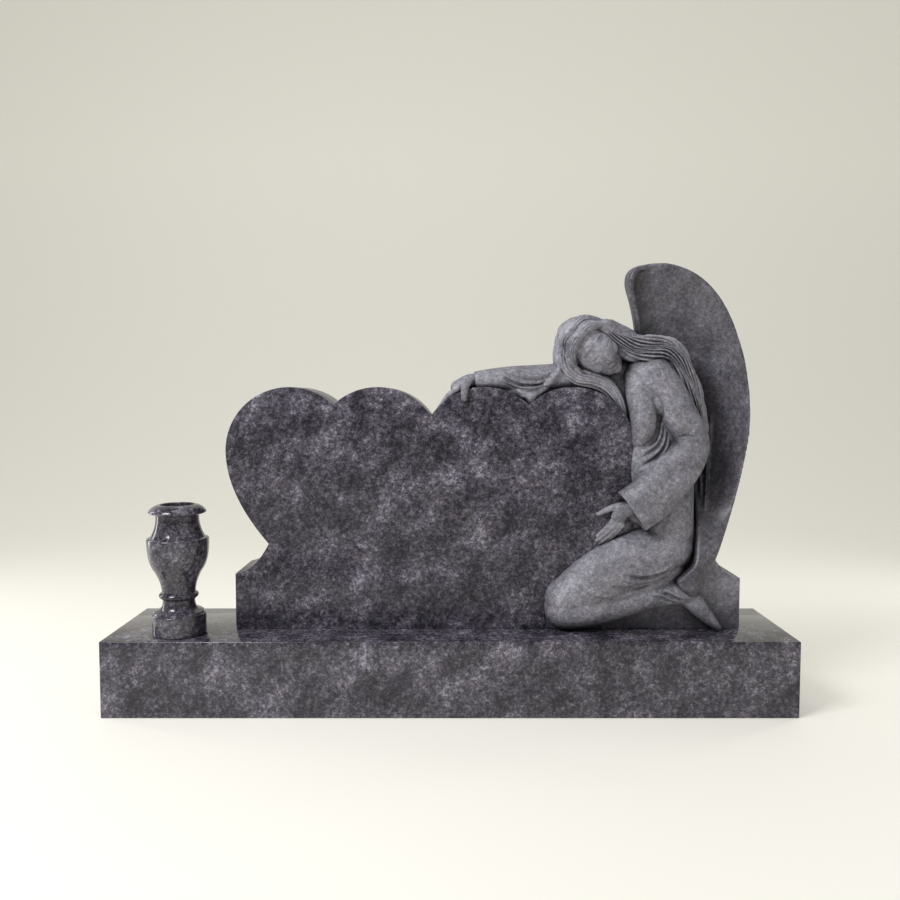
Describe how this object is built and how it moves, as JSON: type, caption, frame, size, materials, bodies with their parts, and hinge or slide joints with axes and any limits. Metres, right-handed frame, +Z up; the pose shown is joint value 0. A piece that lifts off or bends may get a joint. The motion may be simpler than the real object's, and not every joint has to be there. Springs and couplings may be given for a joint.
{
  "type": "heart headstone",
  "caption": "Granite grave marker: a double-heart tablet carved in one with a kneeling winged figure, on a long base with a loose turned flower vase.",
  "frame": {"origin": "centre of the base's underside, on the surface that it stands on", "axes": "+X along the base to the right of a person who faces the hearts, -Y out of the hearts' face towards that person, +Z up"},
  "size_m": [1.829, 0.36, 1.2109],
  "materials": {
    "polished_granite": "polished, blue-grey granite with dark and pale flecks",
    "carved_granite": "the same granite, polished on the hearts' face and honed on the carving"
  },
  "bodies": {
    "root": {"base": "polished_granite", "headstone": "carved_granite", "vase": "polished_granite"}
  },
  "joints": []
}
